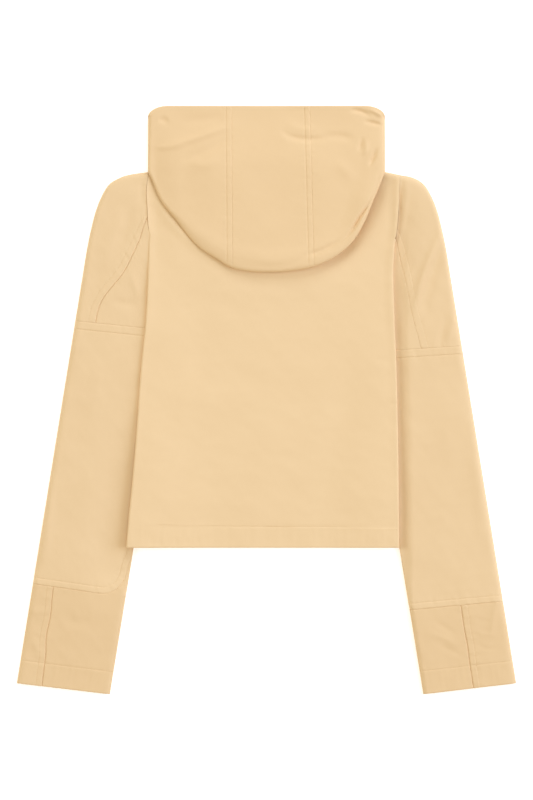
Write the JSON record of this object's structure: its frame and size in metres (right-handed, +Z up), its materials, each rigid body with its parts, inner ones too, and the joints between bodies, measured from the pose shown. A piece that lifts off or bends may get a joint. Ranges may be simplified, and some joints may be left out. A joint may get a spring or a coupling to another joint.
{
  "type": "short hooded parka",
  "caption": "Short hooded cotton parka laid flat with its back up: hood thrown back, long sleeves with seamed cuffs.",
  "frame": {"origin": "middle of the garment's outline seen from above, on the surface it lies on", "axes": "+Y up the body towards the hood, +X across the body to the side that is right in the picture, +Z up from the surface"},
  "size_m": [0.5988, 0.705, 0.0179],
  "materials": {
    "body_cloth": "matt cotton twill, pale sand yellow",
    "sleeve_cloth": "matt cotton twill, pale sand yellow",
    "cuff_cloth": "matt cotton twill, pale sand yellow, a shade deeper",
    "hood_cloth": "matt cotton twill, pale sand yellow"
  },
  "bodies": {
    "root": {"back": "body_cloth", "front_left": "body_cloth", "front_right": "body_cloth", "front_placket": "body_cloth", "side_tuck_left": "body_cloth", "side_tuck_right": "body_cloth", "top_sleeve_left": "sleeve_cloth", "top_sleeve_right": "sleeve_cloth", "under_sleeve_left": "sleeve_cloth", "under_sleeve_right": "sleeve_cloth", "forearm_left": "sleeve_cloth", "forearm_right": "sleeve_cloth", "cuff_left": "cuff_cloth", "cuff_right": "cuff_cloth", "hood_left": "hood_cloth", "hood_centre": "hood_cloth", "hood_right": "hood_cloth", "hood_return": "hood_cloth", "hood_front_left": "hood_cloth", "hood_front_right": "hood_cloth"}
  },
  "joints": []
}
